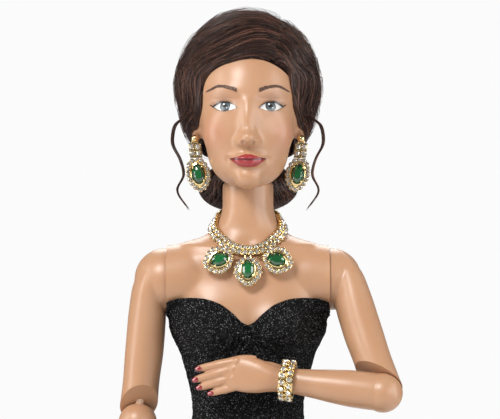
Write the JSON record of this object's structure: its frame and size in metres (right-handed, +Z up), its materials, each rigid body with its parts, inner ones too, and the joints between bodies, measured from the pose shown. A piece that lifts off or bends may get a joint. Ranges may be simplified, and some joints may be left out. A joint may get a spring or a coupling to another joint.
{
  "type": "fashion doll",
  "caption": "Jointed fashion doll in a black strapless evening gown with a jewelled collar, drop earrings and a bracelet; head, arms, hips and knees can be posed.",
  "frame": {"origin": "on the standing surface, under the middle of the doll's bounding box (the middle of the hem)", "axes": "+Z up along the doll's height, +X towards the doll's own left hand, -Y the way the doll faces"},
  "size_m": [0.1488, 0.1288, 0.4148],
  "materials": {
    "vinyl_skin": "satin vinyl",
    "joint_plastic": "matt",
    "dark_hair": "rooted fibre, soft sheen",
    "glitter_cloth": "stretch cloth with fine glitter",
    "gold_plate": "polished, set with small clear stones",
    "green_stone": "faceted, clear green",
    "steel_pin": "plain",
    "shoe_leather": "glossy black"
  },
  "bodies": {
    "torso": {"torso": "vinyl_skin", "hip_axle": "steel_pin", "gown_bodice_front": "glitter_cloth", "gown_bodice_back_left": "glitter_cloth", "gown_bodice_back_right": "glitter_cloth", "gown_zip": "steel_pin", "gown_twist": "glitter_cloth", "gown_skirt_front": "glitter_cloth", "gown_skirt_left": "glitter_cloth", "gown_skirt_back": "glitter_cloth", "gown_skirt_right": "glitter_cloth", "necklace_collar": "gold_plate", "necklace_clasp": "gold_plate"},
    "neck": {"neck_knob": "joint_plastic"},
    "head": {"head": "vinyl_skin", "hair_cap": "dark_hair", "hair_chignon": "dark_hair", "hair_tendril_left": "dark_hair", "hair_tendril_right": "dark_hair", "earring_stud_left": "gold_plate", "earring_stud_right": "gold_plate"},
    "pendant_centre": {"pendant_centre": "gold_plate", "pendant_gem_centre": "green_stone"},
    "earring_left": {"earring_drop_left": "gold_plate", "earring_gem_left": "green_stone"},
    "pendant_left": {"pendant_left": "gold_plate", "pendant_gem_left": "green_stone"},
    "shoulder_left": {"shoulder_hub_left": "joint_plastic"},
    "upper_arm_left": {"upper_arm_left": "vinyl_skin"},
    "elbow_left": {"elbow_hub_left": "joint_plastic"},
    "forearm_left": {"forearm_left": "vinyl_skin"},
    "thigh_left": {"thigh_left": "vinyl_skin", "knee_pin_left": "steel_pin"},
    "shin_left": {"shin_left": "vinyl_skin", "shoe_left": "shoe_leather"},
    "earring_right": {"earring_drop_right": "gold_plate", "earring_gem_right": "green_stone"},
    "pendant_right": {"pendant_right": "gold_plate", "pendant_gem_right": "green_stone"},
    "shoulder_right": {"shoulder_hub_right": "joint_plastic"},
    "upper_arm_right": {"upper_arm_right": "vinyl_skin"},
    "elbow_right": {"elbow_hub_right": "joint_plastic"},
    "forearm_right": {"forearm_right": "vinyl_skin"},
    "thigh_right": {"thigh_right": "vinyl_skin", "knee_pin_right": "steel_pin"},
    "shin_right": {"shin_right": "vinyl_skin", "shoe_right": "shoe_leather"},
    "bracelet": {"bracelet": "gold_plate", "bracelet_clasp": "gold_plate"}
  },
  "joints": [
    {"name": "head_turn", "type": "hinge", "parent": "torso", "child": "neck", "pos_m": [0, 0.0025, 0.347], "axis": [0, 0, 1], "range_deg": [-80, 80]},
    {"name": "head_nod", "type": "hinge", "parent": "neck", "child": "head", "pos_m": [0, 0.0025, 0.347], "axis": [1, 0, 0], "range_deg": [-10, 10]},
    {"name": "earring_swing_left", "type": "hinge", "parent": "head", "child": "earring_left", "pos_m": [0.0212, -0.00192, 0.3609], "axis": [1, 0, 0], "range_deg": [-12, 12]},
    {"name": "earring_swing_right", "type": "hinge", "parent": "head", "child": "earring_right", "pos_m": [-0.0212, -0.00192, 0.3609], "axis": [1, 0, 0], "range_deg": [-12, 12]},
    {"name": "pendant_lift_centre", "type": "hinge", "parent": "torso", "child": "pendant_centre", "pos_m": [0, -0.0141, 0.31624], "axis": [-1, 0, 0], "range_deg": [0, 30]},
    {"name": "pendant_lift_left", "type": "hinge", "parent": "torso", "child": "pendant_left", "pos_m": [0.00661, -0.01355, 0.31727], "axis": [-0.3363, -0.1819, -0.924], "range_deg": [0, 30]},
    {"name": "pendant_lift_right", "type": "hinge", "parent": "torso", "child": "pendant_right", "pos_m": [-0.00661, -0.01355, 0.31727], "axis": [-0.3363, 0.1819, 0.924], "range_deg": [0, 30]},
    {"name": "shoulder_swing_left", "type": "hinge", "parent": "torso", "child": "shoulder_left", "pos_m": [0.033, 0, 0.308], "axis": [-1, 0, 0], "range_deg": [0, 100]},
    {"name": "shoulder_raise_left", "type": "hinge", "parent": "shoulder_left", "child": "upper_arm_left", "pos_m": [0.033, 0, 0.308], "axis": [0, -0.7744, 0.6327], "range_deg": [0, 60]},
    {"name": "elbow_turn_left", "type": "hinge", "parent": "upper_arm_left", "child": "elbow_left", "pos_m": [0.0519, -0.03486, 0.26533], "axis": [-0.2377, 0.6146, 0.7522], "range_deg": [0, 20]},
    {"name": "elbow_bend_left", "type": "hinge", "parent": "elbow_left", "child": "forearm_left", "pos_m": [0.0519, -0.03486, 0.26533], "axis": [0.0339, 0.7792, -0.6259], "range_deg": [-110, 0]},
    {"name": "shoulder_swing_right", "type": "hinge", "parent": "torso", "child": "shoulder_right", "pos_m": [-0.033, 0, 0.308], "axis": [-1, 0, 0], "range_deg": [-45, 150]},
    {"name": "shoulder_raise_right", "type": "hinge", "parent": "shoulder_right", "child": "upper_arm_right", "pos_m": [-0.033, 0, 0.308], "axis": [0, 0.9998, -0.0175], "range_deg": [0, 60]},
    {"name": "elbow_turn_right", "type": "hinge", "parent": "upper_arm_right", "child": "elbow_right", "pos_m": [-0.04405, -0.001, 0.25082], "axis": [0.1002, 0.0174, 0.9948], "range_deg": [-20, 20]},
    {"name": "elbow_bend_right", "type": "hinge", "parent": "elbow_right", "child": "forearm_right", "pos_m": [-0.04405, -0.001, 0.25082], "axis": [-0.9654, -0.2402, 0.1014], "range_deg": [-3, 108]},
    {"name": "bracelet_turn", "type": "hinge", "parent": "forearm_left", "child": "bracelet", "pos_m": [0.01532, -0.02975, 0.26971], "axis": [0.9835, -0.1374, -0.1177], "continuous": true},
    {"name": "hip_left", "type": "hinge", "parent": "torso", "child": "thigh_left", "pos_m": [0.014, 0, 0.201], "axis": [-1, 0, 0], "range_deg": [-8, 5]},
    {"name": "knee_left", "type": "hinge", "parent": "thigh_left", "child": "shin_left", "pos_m": [0.014, 0, 0.109], "axis": [1, 0, 0], "range_deg": [0, 25]},
    {"name": "hip_right", "type": "hinge", "parent": "torso", "child": "thigh_right", "pos_m": [-0.014, 0, 0.201], "axis": [-1, 0, 0], "range_deg": [-8, 5]},
    {"name": "knee_right", "type": "hinge", "parent": "thigh_right", "child": "shin_right", "pos_m": [-0.014, 0, 0.109], "axis": [1, 0, 0], "range_deg": [0, 25]}
  ]
}
